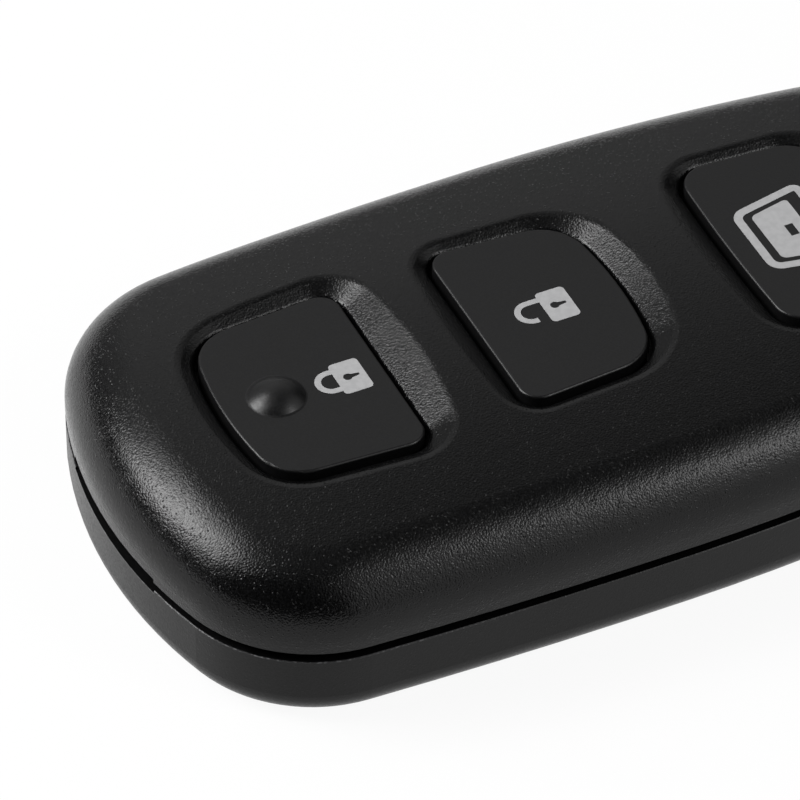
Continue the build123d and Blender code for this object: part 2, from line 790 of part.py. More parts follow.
# Contacts: a strip on the cell's can, and one under its cap with two sprung fingers
with BuildPart() as positive_contact:
    strip_bottom = cell_top + contact_gap
    strip_start = contact_leg_x - contact_length
    add(slab((strip_start + contact_leg_x) / 2, cell_y, contact_length, contact_width, strip_bottom,
             contact_thickness))
    add(slab(contact_leg_x - contact_thickness / 2, cell_y, contact_thickness, contact_width,
             strip_bottom, board_bottom - strip_bottom))
positive_contact.part.label = "positive_contact"
export_step(positive_contact.part, "parts/positive_contact.step")

with BuildPart() as negative_contact:
    add(slab(-contact_leg_x / 2, cell_y, contact_leg_x, contact_width, floor_thickness, contact_thickness))
    add(slab(-contact_leg_x + contact_thickness / 2, cell_y, contact_thickness, contact_width,
             floor_thickness, board_bottom - floor_thickness))
    finger_top = cell_bottom - contact_gap
    for row in (-1, 1):
        with BuildSketch(Plane.XZ.offset(-cell_y - row * (contact_width - finger_width) / 2
                                         - finger_width / 2)):
            with BuildLine():
                Polyline((0, floor_thickness), (finger_length, finger_top - contact_thickness),
                         (finger_length, finger_top), (0, floor_thickness + contact_thickness), close=True)
            make_face()
        extrude(amount=finger_width)
negative_contact.part.label = "negative_contact"
export_step(negative_contact.part, "parts/negative_contact.step")

# Light on the board and the lens that carries it through the top cover
with BuildPart() as led:
    add(slab(light_x, light_y, light_length, light_width, board_top, light_height / 2))
    add(slab(light_x, light_y, light_length / 2, light_width, board_top, light_height))
led.part.label = "led"
export_step(led.part, "parts/led.step")

with BuildPart() as led_lens:
    add(column(light_x, light_y, lens_radius, board_top + light_height + lens_gap, crown_height - lens_sink))
    fillet(led_lens.edges().group_by(Axis.Z)[-1], lens_edge_radius)
    add(column(light_x, light_y, lens_flange_radius, lens_flange_top - lens_flange_height, lens_flange_top))
led_lens.part.label = "led_lens"
export_step(led_lens.part, "parts/led_lens.step")


def chip(x, y, length, width, height):
    """Chip body that stands a little off the board, with a moulding taper at its top."""
    with BuildPart() as body:
        add(slab(x, y, length, width, board_top + chip_standoff, height))
        chamfer(body.faces().sort_by(Axis.Z)[-1].edges(), chip_standoff)
    return body.part


with BuildPart() as microcontroller:
    add(chip(-chip_x, upper_strip_y, chip_width, chip_length, chip_height))
microcontroller.part.label = "microcontroller"
export_step(microcontroller.part, "parts/microcontroller.step")

with BuildPart() as controller_leads:
    for side in (-1, 1):
        foot_x = -chip_x + side * (chip_width + lead_reach) / 2
        with Locations((foot_x, upper_strip_y, board_top)):
            with GridLocations(0, lead_pitch, 1, lead_count):
                Box(lead_reach, lead_width, lead_thickness,
                    align=(Align.CENTER, Align.CENTER, Align.MIN))
controller_leads.part.label = "controller_leads"
export_step(controller_leads.part, "parts/controller_leads.step")

with BuildPart() as radio_chip:
    add(chip(chip_x, upper_strip_y, radio_width, radio_length, radio_height))
radio_chip.part.label = "radio_chip"
export_step(radio_chip.part, "parts/radio_chip.step")

with BuildPart() as crystal:
    with BuildSketch(Plane.XY.offset(board_top)):
        with Locations((-chip_x, crystal_y)):
            SlotOverall(crystal_length, crystal_width)
    extrude(amount=crystal_height)
    fillet(crystal.faces().sort_by(Axis.Z)[-1].edges(), crystal_edge)
crystal.part.label = "crystal"
export_step(crystal.part, "parts/crystal.step")


def small_parts(x, y, length, width, height):
    """Small blocks in a square pattern on the board."""
    with BuildPart() as group:
        with Locations((x, y, board_top)):
            with GridLocations(small_pitch, small_pitch, small_columns, small_rows):
                Box(length, width, height, align=(Align.CENTER, Align.CENTER, Align.MIN))
    return group.part


with BuildPart() as chip_resistors:
    add(small_parts(chip_x, lower_strip_y, resistor_length, resistor_width, resistor_height))
chip_resistors.part.label = "chip_resistors"
export_step(chip_resistors.part, "parts/chip_resistors.step")

with BuildPart() as chip_capacitors:
    add(small_parts(-chip_x, lower_strip_y, capacitor_length, capacitor_width, capacitor_height))
chip_capacitors.part.label = "chip_capacitors"
export_step(chip_capacitors.part, "parts/chip_capacitors.step")

# Aerial: a bent wire soldered flat on the board at the lock end
with BuildPart() as aerial_loop:
    aerial_plane = Plane.XY.offset(board_top + aerial_radius)
    aerial_y = lock_end - aerial_from_end
    with BuildLine(aerial_plane) as aerial_path:
        FilletPolyline((-aerial_reach_x, aerial_y - aerial_depth), (-aerial_reach_x, aerial_y),
                       (aerial_reach_x, aerial_y), (aerial_reach_x, aerial_y - aerial_depth),
                       radius=aerial_corner)
    with BuildSketch(Plane(aerial_path.line @ 0, z_dir=aerial_path.line % 0)):
        Circle(aerial_radius)
    sweep()
aerial_loop.part.label = "aerial_loop"
export_step(aerial_loop.part, "parts/aerial_loop.step")
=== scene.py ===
"""Looks, studio light and camera for a car key fob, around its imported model.

Sizes of the fob and its signs are in millimetres. The lamps, the floor and every mesh are in metres.
+Y is the end with the lock button, +Z is out of the button face, and the fob lies on Z = 0.
"""
import json
import logging
from abc import ABC, abstractmethod
from dataclasses import dataclass, replace
from enum import Enum
from math import cos, pi, radians, sin

import bmesh
import bpy
from bmesh.types import BMEdge, BMesh, BMFace, BMVert
from bpy.types import Material, Node, NodeSocket, NodeTree, Object, World
from mathutils import Matrix, Vector


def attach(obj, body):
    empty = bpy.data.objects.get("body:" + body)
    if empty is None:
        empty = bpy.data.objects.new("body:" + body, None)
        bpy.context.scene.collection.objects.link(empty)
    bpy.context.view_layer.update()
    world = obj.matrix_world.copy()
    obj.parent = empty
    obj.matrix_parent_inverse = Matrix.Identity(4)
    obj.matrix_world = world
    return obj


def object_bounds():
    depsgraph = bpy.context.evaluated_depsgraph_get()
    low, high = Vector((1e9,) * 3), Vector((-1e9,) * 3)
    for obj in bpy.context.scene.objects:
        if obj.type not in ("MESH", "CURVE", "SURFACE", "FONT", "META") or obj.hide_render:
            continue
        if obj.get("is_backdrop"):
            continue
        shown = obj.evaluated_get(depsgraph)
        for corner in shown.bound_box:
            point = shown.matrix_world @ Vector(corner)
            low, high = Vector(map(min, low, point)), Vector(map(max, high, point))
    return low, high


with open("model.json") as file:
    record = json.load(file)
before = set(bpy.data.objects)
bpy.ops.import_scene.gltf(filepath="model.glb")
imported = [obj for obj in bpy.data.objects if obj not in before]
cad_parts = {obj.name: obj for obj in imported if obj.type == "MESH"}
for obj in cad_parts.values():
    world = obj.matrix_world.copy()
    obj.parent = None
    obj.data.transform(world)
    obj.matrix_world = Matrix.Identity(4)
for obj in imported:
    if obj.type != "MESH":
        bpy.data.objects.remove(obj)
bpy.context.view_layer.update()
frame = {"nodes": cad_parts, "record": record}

MM = 0.001
Colour = tuple[float, float, float]
Sockets = tuple[NodeSocket, NodeSocket, NodeSocket]

log = logging.getLogger("key_fob")


class Pattern(Enum):
    """The patterns that a finish can have. Each is one shader node group."""

    GRAIN = "mould_grain"
    BRUSHED = "brushed_lines"
    TRACKS = "board_tracks"
    SPECKLE = "fine_speckle"


class Nodes:
    """Adds nodes to one tree, with their input values, and links them."""

    def __init__(self, tree: NodeTree) -> None:
        """Keeps the tree that the nodes go into.

        Args:
            tree: the shader node tree to build in.
        """
        self.tree = tree
        self.place = 0

    def add(self, kind: str, inputs: dict[str | int, object] | None = None,
            **settings: object) -> Node:
        """Adds one node.

        Args:
            kind: the node's type, without the ShaderNode in front.
            inputs: a value or a socket to link, for each input by name or number.
            settings: the node's own properties.

        Returns:
            The new node.
        """
        node = self.tree.nodes.new(kind if kind.startswith("NodeGroup") else f"ShaderNode{kind}")
        node.location = (self.place * 180, 0)
        self.place += 1
        for key, value in settings.items():
            setattr(node, key, value)
        for key, value in (inputs or {}).items():
            if isinstance(value, NodeSocket):
                self.tree.links.new(value, node.inputs[key])
            else:
                node.inputs[key].default_value = value
        return node

    def maths(self, operation: str, first: object, second: object = 0.0) -> NodeSocket:
        """Adds a Math node and returns its result.

        Args:
            operation: the Math node's operation.
            first: its first value or socket.
            second: its second value or socket.

        Returns:
            The socket that holds the result.
        """
        return self.add("Math", {0: first, 1: second}, operation=operation).outputs[0]

    def ramp(self, value: NodeSocket, low: float, high: float, start: float = 0.0,
             end: float = 1.0) -> NodeSocket:
        """Turns a range of values into another one, smoothly and clamped.

        Args:
            value: the socket to remap.
            low: the value that becomes start.
            high: the value that becomes end.
            start: the result at and below low.
            end: the result at and above high.

        Returns:
            The socket that holds the remapped value.
        """
        node = self.add("MapRange", {"Value": value, 1: low, 2: high, 3: start, 4: end},
                        interpolation_type="SMOOTHSTEP")
        return node.outputs[0]

    def seen(self) -> NodeSocket:
        """Adds the mask of the rays that show a surface: straight on, in a gloss or through glass.

        Returns:
            The socket with the mask, 0 or 1.
        """
        ray = self.add("LightPath").outputs
        indirect = self.maths("MAXIMUM", ray["Is Glossy Ray"], ray["Is Transmission Ray"])
        return self.maths("MAXIMUM", ray["Is Camera Ray"], indirect)


def blank_tree(owner: Material | World) -> Nodes:
    """Turns on the nodes of a material or world, and clears them.

    Args:
        owner: the material or world.

    Returns:
        The builder for its empty tree.
    """
    owner.use_nodes = True
    owner.node_tree.nodes.clear()
    return Nodes(owner.node_tree)


def new_object(name: str, mesh: BMesh) -> Object:
    """Makes an object of the scene from a finished bmesh, and frees the bmesh.

    Args:
        name: the name of the object and its mesh.
        mesh: the bmesh, in metres.

    Returns:
        The new object.
    """
    data = bpy.data.meshes.new(name)
    mesh.to_mesh(data)
    mesh.free()
    piece = bpy.data.objects.new(name, data)
    bpy.context.scene.collection.objects.link(piece)
    return piece


def direction(compass: float, height: float) -> Vector:
    """Works out the way from the fob to a place in the studio.

    Args:
        compass: degrees round the fob, from +Y towards +X.
        height: degrees above the floor.

    Returns:
        The way, as a vector of length 1.
    """
    turn, rise = radians(compass), radians(height)
    return Vector((sin(turn) * cos(rise), cos(turn) * cos(rise), sin(rise)))


class PatternGroups:
    """The shader node groups that the finishes share. Each puts out a height, tone and gloss.

    The grain's numbers are in grains, and NOISE_MIDDLE is the part of a noise's range that is
    spread out to 0 to 1.
    """

    CELLS_PER_GRAIN = 0.7
    PEAK_RADIUS = 0.45
    PEAK_CHOICE = (0.45, 0.9)
    PEAK_HEIGHT = 0.9
    PEAK_SHINE = 0.6
    BROAD_SHARE = 0.35
    NOISE_MIDDLE = (0.3, 0.7)
    BRUSH_STRETCH = (0.04, 1.0, 1.0)

    def __init__(self) -> None:
        """Starts with no group made."""
        self.made: dict[Pattern, NodeTree] = {}
        self.makers = {
            Pattern.GRAIN: self.grain,
            Pattern.BRUSHED: self.brushed,
            Pattern.TRACKS: self.tracks,
            Pattern.SPECKLE: self.speckle,
        }

    def get(self, pattern: Pattern) -> NodeTree:
        """Returns the node group of a pattern, and makes it the first time.

        Args:
            pattern: the pattern asked for.

        Returns:
            The group's node tree.
        """
        if pattern not in self.made:
            self.made[pattern] = self.make(pattern)
        return self.made[pattern]

    def make(self, pattern: Pattern) -> NodeTree:
        """Makes the group of a pattern with its sockets.

        Args:
            pattern: the pattern to make.

        Returns:
            The new group's node tree.
        """
        tree = bpy.data.node_groups.new(pattern.value, "ShaderNodeTree")
        tree.interface.new_socket("Vector", in_out="INPUT", socket_type="NodeSocketVector")
        tree.interface.new_socket("Scale", in_out="INPUT", socket_type="NodeSocketFloat")
        for name in ("Height", "Tone", "Gloss"):
            tree.interface.new_socket(name, in_out="OUTPUT", socket_type="NodeSocketFloat")
        nodes = Nodes(tree)
        given = nodes.add("NodeGroupInput")
        inputs = {0: given.outputs["Vector"], "Scale": given.outputs["Scale"]}
        scaled = nodes.add("VectorMath", inputs, operation="SCALE").outputs[0]
        height, tone, gloss = self.makers[pattern](nodes, scaled)
        nodes.add("NodeGroupOutput", {"Height": height, "Tone": tone, "Gloss": gloss})
        return tree

    @staticmethod
    def noise(nodes: Nodes, vector: NodeSocket, scale: float, detail: float,
              roughness: float) -> NodeSocket:
        """Adds a noise texture and returns its value.

        Args:
            nodes: the nodes of the group.
            vector: the scaled place.
            scale: how fine the noise is, in grains.
            detail: how many finer layers it has.
            roughness: how strong the finer layers are.

        Returns:
            The socket with the noise, from 0 to 1.
        """
        return nodes.add("TexNoise", {"Vector": vector, "Scale": scale, "Detail": detail,
                                      "Roughness": roughness}).outputs[0]

    def grain(self, nodes: Nodes, vector: NodeSocket) -> Sockets:
        """Spark-eroded mould grain: pits and grains of a few sizes, with flecks that shine more.

        Args:
            nodes: the nodes of the group.
            vector: the place, in grains.

        Returns:
            The height, tone and gloss sockets.
        """
        cells = nodes.add("TexVoronoi", {"Vector": vector, "Scale": self.CELLS_PER_GRAIN},
                          feature="F1").outputs
        chosen = nodes.add("SeparateColor", {0: cells["Color"]}).outputs[0]
        dome = nodes.ramp(cells["Distance"], 0.0, self.PEAK_RADIUS, start=1.0, end=0.0)
        peak = nodes.maths("MULTIPLY", dome, nodes.ramp(chosen, *self.PEAK_CHOICE))
        fine = self.noise(nodes, vector, scale=1.0, detail=1.0, roughness=0.4)
        broad = self.noise(nodes, vector, scale=0.3, detail=1.0, roughness=0.5)
        cloud = self.noise(nodes, vector, scale=0.9, detail=1.0, roughness=0.5)
        grains = nodes.maths("ADD", nodes.maths("MULTIPLY", broad, self.BROAD_SHARE), fine)
        height = nodes.maths("ADD", nodes.maths("MULTIPLY", peak, self.PEAK_HEIGHT), grains)
        gloss = nodes.maths("SUBTRACT", nodes.ramp(fine, low=0.35, high=0.68),
                            nodes.maths("MULTIPLY", peak, self.PEAK_SHINE))
        return height, nodes.ramp(cloud, low=0.35, high=0.7), gloss

    def brushed(self, nodes: Nodes, vector: NodeSocket) -> Sockets:
        """Fine lines of rolled or brushed metal, along X.

        Args:
            nodes: the nodes of the group.
            vector: the place, in line widths.

        Returns:
            The height, tone and gloss sockets.
        """
        drawn = nodes.add("VectorMath", {0: vector, 1: self.BRUSH_STRETCH},
                          operation="MULTIPLY").outputs[0]
        lines = self.noise(nodes, drawn, scale=1.0, detail=3.0, roughness=0.7)
        stain = self.noise(nodes, vector, scale=0.05, detail=2.0, roughness=0.5)
        return lines, nodes.ramp(stain, *self.NOISE_MIDDLE), nodes.ramp(lines, *self.NOISE_MIDDLE)

    def tracks(self, nodes: Nodes, vector: NodeSocket) -> Sockets:
        """Copper tracks that show through the solder mask of a circuit board.

        Args:
            nodes: the nodes of the group.
            vector: the place, in track lengths.

        Returns:
            The height, tone and gloss sockets.
        """
        bricks = nodes.add("TexBrick", {
            "Vector": vector, "Scale": 1.0, "Mortar Size": 0.12, "Mortar Smooth": 0.3,
            "Brick Width": 2.6, "Row Height": 0.6})
        weave = self.noise(nodes, vector, scale=6.0, detail=2.0, roughness=0.5)
        tone = nodes.maths("SUBTRACT", 1.0, bricks.outputs["Fac"])
        return tone, tone, nodes.ramp(weave, *self.NOISE_MIDDLE)

    def speckle(self, nodes: Nodes, vector: NodeSocket) -> Sockets:
        """Even small speckles, as printed ink, rubber and fired ceramic have.

        Args:
            nodes: the nodes of the group.
            vector: the place, in speckles.

        Returns:
            The height, tone and gloss sockets.
        """
        fine = self.noise(nodes, vector, scale=1.0, detail=3.0, roughness=0.65)
        broad = self.noise(nodes, vector, scale=0.2, detail=1.0, roughness=0.5)
        return fine, nodes.ramp(broad, *self.NOISE_MIDDLE), nodes.ramp(fine, *self.NOISE_MIDDLE)


@dataclass(frozen=True)
class RimHighlightAndWear:
    """Painted highlight with rubbed wear on the outer wall of the rear cover, just below the joint
    of the covers: a light line where the edge catches the lamps, broken into chips.

    Attributes:
        rim: Z of the cover's upper edge.
        slot_half: half the width of the pry slot, where the edge lies slot_drop lower.
        slot_drop: how much lower the edge lies there.
        start: how far below the edge the painted band starts, which keeps it off the flat top.
        line: how far below the edge it is full.
        fade: how far below the edge it ends.
        from_y: Y where the painted highlight sets in; it grows towards the lock end, where the lamps
            stand.
        full_y: Y from which it is full.
        chips: length of a chip of wear.
        chip_edge: noise values between which a chip starts.
        even_share: how much of the painted highlight is there between the chips.
        colour: colour painted on the edge, for the highlight and the rubbed plastic.
    """

    rim: float = 5.15
    slot_half: float = 6.2
    slot_drop: float = 0.2
    start: float = 0.012
    line: float = 0.06
    fade: float = 0.11
    from_y: float = 8.0
    full_y: float = 24.0
    chips: float = 0.3
    chip_edge: tuple[float, float] = (0.48, 0.62)
    even_share: float = 0.25
    # Light grey of the painted highlight and the rubbed plastic.
    colour: Colour = (0.11, 0.11, 0.113)

    def mask(self, nodes: Nodes, place: NodeSocket) -> NodeSocket:
        """Adds the mask of the painted highlight and wear on the edge.

        Args:
            nodes: the nodes of the material.
            place: the Object coordinates.

        Returns:
            The socket with the mask, from 0 to 1.
        """
        scaled = nodes.add("VectorMath", {0: place, "Scale": 1 / MM}, operation="SCALE").outputs[0]
        across, along, up = nodes.add("SeparateXYZ", {0: scaled}).outputs[:3]
        in_slot = nodes.maths("LESS_THAN", nodes.maths("ABSOLUTE", across), self.slot_half)
        edge = nodes.maths("SUBTRACT", self.rim, nodes.maths("MULTIPLY", in_slot, self.slot_drop))
        below = nodes.maths("SUBTRACT", edge, up)
        band = nodes.maths("MULTIPLY", nodes.ramp(below, self.line, self.fade, start=1.0, end=0.0),
                           nodes.maths("GREATER_THAN", below, self.start))
        chips = nodes.add("TexNoise", {"Vector": scaled, "Scale": 1 / self.chips,
                                       "Detail": 2.0}).outputs[0]
        broken = nodes.ramp(chips, *self.chip_edge, start=self.even_share)
        # Painted highlight: the band is broken into chips and fades in towards the lock end, where
        # the lamps stand.
        return nodes.maths("MULTIPLY", nodes.maths("MULTIPLY", band, broken),
                           nodes.ramp(along, self.from_y, self.full_y))


@dataclass(frozen=True)
class Finish:
    """One surface finish of the fob, which one material slot of the record names.

    Attributes:
        slot: name of the material slot.
        colour: colour where the pattern's tone is 0.
        tint: colour where the pattern's tone is 1.
        pattern: the pattern of the surface.
        pattern_size: size of one grain, line or speckle.
        depth: how deep the pattern's relief is.
        smooth: roughness where the pattern's gloss value is 0.
        rough: roughness where the pattern's gloss value is 1.
        specular: specular level, where 0.5 is that of common plastic.
        metallic: 1 for bare metal.
        coat: weight of a clear coat.
        highlight_and_wear: painted highlight with rubbed wear along an edge, mixed over the colour,
            if it has one.
    """

    slot: str
    colour: Colour
    tint: Colour
    pattern: Pattern
    pattern_size: float
    depth: float
    smooth: float
    rough: float
    specular: float = 0.5
    metallic: float = 0.0
    coat: float = 0.0
    highlight_and_wear: RimHighlightAndWear | None = None

    def material(self, groups: PatternGroups) -> Material:
        """Makes the finish's node material.

        Args:
            groups: the shared pattern groups.

        Returns:
            The new material.
        """
        material = bpy.data.materials.new(f"{self.slot}_finish")
        nodes = blank_tree(material)
        place = nodes.add("TexCoord").outputs["Object"]
        group = nodes.add("Group", node_tree=groups.get(self.pattern))
        nodes.tree.links.new(place, group.inputs["Vector"])
        group.inputs["Scale"].default_value = 1 / (self.pattern_size * MM)
        blend = {0: group.outputs["Tone"], 6: (*self.colour, 1), 7: (*self.tint, 1)}
        colour = nodes.add("Mix", blend, data_type="RGBA").outputs[2]
        # A painted highlight with rubbed wear along the edge is mixed over the colour.
        if self.highlight_and_wear:
            blend = {0: self.highlight_and_wear.mask(nodes, place), 6: colour, 7: (*self.highlight_and_wear.colour, 1)}
            colour = nodes.add("Mix", blend, data_type="RGBA").outputs[2]
        gloss = nodes.ramp(group.outputs["Gloss"], 0.0, 1.0, self.smooth, self.rough)
        bump = nodes.add("Bump", {"Height": group.outputs["Height"], "Strength": 1.0,
                                  "Distance": self.depth * MM}).outputs[0]
        shader = nodes.add("BsdfPrincipled", {
            "Base Color": colour, "Roughness": gloss, "Normal": bump, "Metallic": self.metallic,
            "Specular IOR Level": self.specular, "Coat Weight": self.coat})
        nodes.add("OutputMaterial", {"Surface": shader.outputs[0]})
        return material


BUTTON = Finish("button_plastic", (0.0045, 0.0045, 0.0047), (0.0065, 0.0065, 0.0068), Pattern.GRAIN,
                pattern_size=0.12, depth=0.003, smooth=0.30, rough=0.38, specular=0.28)
FINISHES = (
    Finish("top_case", (0.0018, 0.0018, 0.0019), (0.0040, 0.0040, 0.0042), Pattern.GRAIN,
           pattern_size=0.12, depth=0.025, smooth=0.15, rough=0.25, specular=0.25),
    Finish("rear_case", (0.0020, 0.0020, 0.0021), (0.0042, 0.0042, 0.0044), Pattern.GRAIN,
           # The rear cover's upper edge gets a painted highlight with rubbed wear.
           pattern_size=0.13, depth=0.008, smooth=0.28, rough=0.38, specular=0.2, highlight_and_wear=RimHighlightAndWear()),
    BUTTON,
    replace(BUTTON, slot="alert_button_plastic"),
    Finish("seal_rubber", (0.004, 0.004, 0.0042), (0.008, 0.008, 0.0082), Pattern.SPECKLE,
           pattern_size=0.2, depth=0.006, smooth=0.7, rough=0.85),
    Finish("keypad_rubber", (0.05, 0.05, 0.053), (0.07, 0.07, 0.074), Pattern.SPECKLE,
           pattern_size=0.3, depth=0.008, smooth=0.55, rough=0.75),
    Finish("board_laminate", (0.012, 0.10, 0.045), (0.03, 0.17, 0.08), Pattern.TRACKS,
           pattern_size=1.1, depth=0.02, smooth=0.25, rough=0.38, coat=0.4),
    Finish("frame_plastic", (0.05, 0.05, 0.053), (0.065, 0.065, 0.069), Pattern.GRAIN,
           pattern_size=0.2, depth=0.01, smooth=0.45, rough=0.6),
    Finish("screw_steel", (0.55, 0.56, 0.58), (0.66, 0.66, 0.68), Pattern.BRUSHED,
           pattern_size=0.05, depth=0.003, smooth=0.22, rough=0.4, metallic=1.0),
    Finish("switch_plastic", (0.015, 0.015, 0.016), (0.025, 0.025, 0.026), Pattern.GRAIN,
           pattern_size=0.12, depth=0.006, smooth=0.4, rough=0.55),
    Finish("switch_steel", (0.6, 0.6, 0.61), (0.72, 0.72, 0.72), Pattern.BRUSHED,
           pattern_size=0.04, depth=0.002, smooth=0.2, rough=0.38, metallic=1.0),
    Finish("plunger_plastic", (0.42, 0.38, 0.3), (0.5, 0.46, 0.38), Pattern.SPECKLE,
           pattern_size=0.15, depth=0.004, smooth=0.4, rough=0.55),
    Finish("cell_steel", (0.68, 0.68, 0.67), (0.78, 0.78, 0.76), Pattern.BRUSHED,
           pattern_size=0.06, depth=0.002, smooth=0.18, rough=0.36, metallic=1.0),
    Finish("cell_seal_plastic", (0.03, 0.03, 0.032), (0.05, 0.05, 0.052), Pattern.SPECKLE,
           pattern_size=0.2, depth=0.004, smooth=0.45, rough=0.6),
    Finish("contact_steel", (0.72, 0.69, 0.6), (0.8, 0.78, 0.7), Pattern.BRUSHED,
           pattern_size=0.05, depth=0.002, smooth=0.22, rough=0.4, metallic=1.0),
    Finish("led_resin", (0.75, 0.72, 0.5), (0.85, 0.82, 0.62), Pattern.SPECKLE,
           pattern_size=0.3, depth=0.001, smooth=0.12, rough=0.2, coat=0.3),
    Finish("lens_plastic", (0.16, 0.006, 0.006), (0.24, 0.012, 0.01), Pattern.SPECKLE,
           pattern_size=0.4, depth=0.002, smooth=0.1, rough=0.2, coat=0.4),
    Finish("chip_resin", (0.012, 0.012, 0.013), (0.02, 0.02, 0.021), Pattern.SPECKLE,
           pattern_size=0.06, depth=0.006, smooth=0.5, rough=0.65),
    Finish("capacitor_ceramic", (0.3, 0.2, 0.11), (0.4, 0.28, 0.17), Pattern.SPECKLE,
           pattern_size=0.1, depth=0.003, smooth=0.4, rough=0.55),
    Finish("aerial_wire", (0.68, 0.4, 0.22), (0.78, 0.6, 0.45), Pattern.BRUSHED,
           pattern_size=0.06, depth=0.003, smooth=0.2, rough=0.38, metallic=1.0),
)
INK = Finish("symbol_ink", (0.37, 0.37, 0.375), (0.41, 0.41, 0.415), Pattern.SPECKLE,
             pattern_size=0.1, depth=0.004, smooth=0.5, rough=0.65)


class CarriedNodes:
    """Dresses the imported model's own pieces."""

    def __init__(self, groups: PatternGroups) -> None:
        """Makes the material of every slot.

        Args:
            groups: the shared pattern groups.
        """
        self.materials = {finish.slot: finish.material(groups) for finish in FINISHES}

    def dress(self) -> None:
        """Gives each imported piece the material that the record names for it."""
        for part in frame["record"]["subparts"]:
            piece = frame["nodes"][part["node"]]
            for place in piece.material_slots:
                place.material = self.materials[part["material_slot"]]
            faces = len(piece.data.polygons)
            log.info("%s: %s, %d faces", piece.name, part["material_slot"], faces)


@dataclass
class Symbol(ABC):
    """A generic sign printed on a button's flat top, upright along Y.

    Attributes:
        name: name of the piece.
        button: the button that carries it, without the word button.
        centre_x: X of the sign's middle.
        centre_y: Y of the sign's middle.
        line: width of the sign's lines.
        ink_depth: thickness of the ink.
        sunk: how deep the ink's underside lies in the button.
        corner_segments: pieces of a rounded corner.
        weld: distance at which points become one.
        above: height from which the button's top is looked for.
    """

    name: str
    button: str
    centre_x: float
    centre_y: float
    line: float = 0.5
    ink_depth: float = 0.03
    sunk: float = 0.012
    corner_segments: int = 5
    weld: float = 0.001
    above: float = 100.0

    @abstractmethod
    def draw(self, mesh: BMesh) -> None:
        """Draws the sign flat, in millimetres, round its own middle.

        Args:
            mesh: the empty mesh to draw in.
        """

    def plate(self, mesh: BMesh, bottom_width: float, top_width: float, low: float,
              high: float, corner: float) -> list[BMFace]:
        """Draws one flat plate with rounded corners, as wide as it says at its low and high edge.

        Args:
            mesh: the mesh to draw in.
            bottom_width: width at the low edge.
            top_width: width at the high edge.
            low: Y of the low edge.
            high: Y of the high edge.
            corner: radius of the corners.

        Returns:
            The plate's face, in a list.
        """
        corners = bmesh.ops.create_grid(mesh, x_segments=1, y_segments=1, size=0.5)["verts"]
        for vertex in corners:
            width, edge = (top_width, high) if vertex.co.y > 0 else (bottom_width, low)
            vertex.co = Vector((vertex.co.x * width, edge, 0))
        made = bmesh.ops.bevel(mesh, geom=corners, affect="VERTICES", offset=corner,
                               offset_type="OFFSET", segments=self.corner_segments,
                               profile=0.5, material=-1)
        return [face for face in mesh.faces if set(face.verts) & set(made["verts"])]

    def hollow(self, mesh: BMesh, faces: list[BMFace], rim: float) -> None:
        """Leaves only a rim of a plate.

        Args:
            mesh: the mesh that holds the plate.
            faces: the plate's face.
            rim: width of the rim.
        """
        bmesh.ops.inset_region(mesh, faces=faces, thickness=rim, use_even_offset=True,
                               use_boundary=True)
        bmesh.ops.delete(mesh, geom=faces, context="FACES")

    def arc(self, mesh: BMesh, centre: tuple[float, float], radius: float, start: float,
            sweep: float, steps: int = 16) -> tuple[BMEdge, BMEdge]:
        """Draws a curved line by spinning one short edge.

        Args:
            mesh: the mesh to draw in.
            centre: X and Y of the arc's middle.
            radius: radius of the line's middle.
            start: angle of the first end, in degrees from +X.
            sweep: angle that it turns, in degrees, anticlockwise.
            steps: number of pieces of the arc.

        Returns:
            The edges at its first and last end.
        """
        middle = Vector((*centre, 0))
        way = Vector((cos(radians(start)), sin(radians(start)), 0))
        ends = [mesh.verts.new(middle + way * (radius + side * self.line / 2)) for side in (-1, 1)]
        first = mesh.edges.new(ends)
        last = bmesh.ops.spin(mesh, geom=[first, *ends], cent=middle, axis=(0, 0, 1),
                              angle=radians(sweep), steps=steps, use_merge=False)["geom_last"]
        return first, next(item for item in last if isinstance(item, BMEdge))

    @staticmethod
    def leg(mesh: BMesh, edge: BMEdge, length: float) -> None:
        """Lengthens a line straight down from its end edge.

        Args:
            mesh: the mesh that holds the line.
            edge: the line's end edge.
            length: how far the leg goes.
        """
        made = bmesh.ops.extrude_edge_only(mesh, edges=[edge])["geom"]
        verts = [item for item in made if isinstance(item, BMVert)]
        bmesh.ops.translate(mesh, verts=verts, vec=(0, -length, 0))

    def build(self, ink: Material) -> Object:
        """Builds the printed sign on its button, and makes it ride on the button's body.

        Args:
            ink: the material of the print.

        Returns:
            The sign's object.
        """
        cap = frame["nodes"][f"{self.button}_button"]
        start = Vector((self.centre_x, self.centre_y, self.above)) * MM
        _, spot, _, _ = cap.ray_cast(start, Vector((0, 0, -1)))
        mesh = bmesh.new()
        self.draw(mesh)
        bmesh.ops.remove_doubles(mesh, verts=mesh.verts, dist=self.weld)
        bmesh.ops.recalc_face_normals(mesh, faces=mesh.faces)
        raised = bmesh.ops.extrude_face_region(mesh, geom=list(mesh.faces))["geom"]
        verts = [item for item in raised if isinstance(item, BMVert)]
        bmesh.ops.translate(mesh, verts=verts, vec=(0, 0, self.ink_depth))
        bmesh.ops.translate(mesh, verts=mesh.verts, vec=(self.centre_x, self.centre_y, -self.sunk))
        bmesh.ops.scale(mesh, verts=mesh.verts, vec=(MM, MM, MM))
        bmesh.ops.translate(mesh, verts=mesh.verts, vec=(0, 0, spot.z))
        bmesh.ops.recalc_face_normals(mesh, faces=mesh.faces)
        piece = new_object(self.name, mesh)
        piece.data.materials.append(ink)
        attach(piece, f"{self.button}_key")
        log.info("%s: on the %s button, %d faces", self.name, self.button, len(piece.data.polygons))
        return piece


